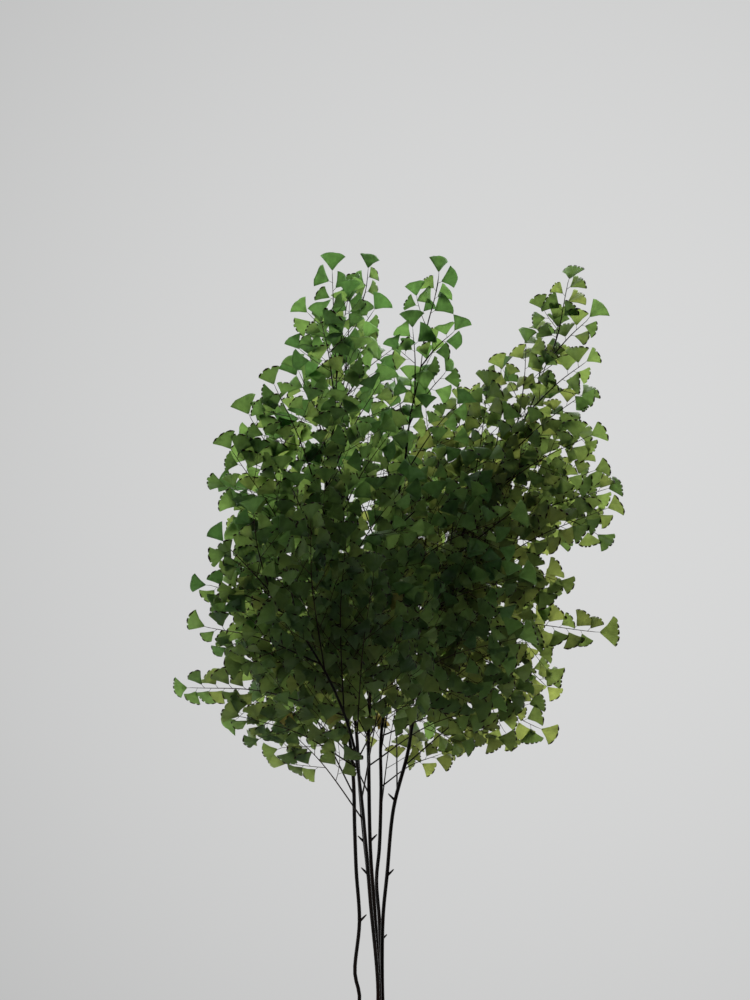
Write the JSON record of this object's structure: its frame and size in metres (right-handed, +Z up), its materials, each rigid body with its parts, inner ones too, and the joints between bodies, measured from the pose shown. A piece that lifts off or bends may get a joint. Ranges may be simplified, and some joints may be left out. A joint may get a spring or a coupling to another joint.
{
  "type": "potted maidenhair fern",
  "caption": "Maidenhair fern with tall wiry black stalks and fan-shaped leaflets, standing in the soil of a plain clay pot.",
  "frame": {"origin": "centre of the pot's flat base, on the surface that it stands on", "axes": "+Z up along the pot's axis, +X to the right of the picture, and -Y towards its camera"},
  "size_m": [0.2985, 0.2538, 0.6403],
  "materials": {
    "pot": "matte",
    "soil": "matte",
    "frond": "satin"
  },
  "bodies": {
    "root": {"pot": "pot", "soil": "soil", "frond_1": "frond", "frond_2": "frond", "frond_3": "frond", "frond_4": "frond", "frond_5": "frond", "frond_6": "frond"}
  },
  "joints": []
}
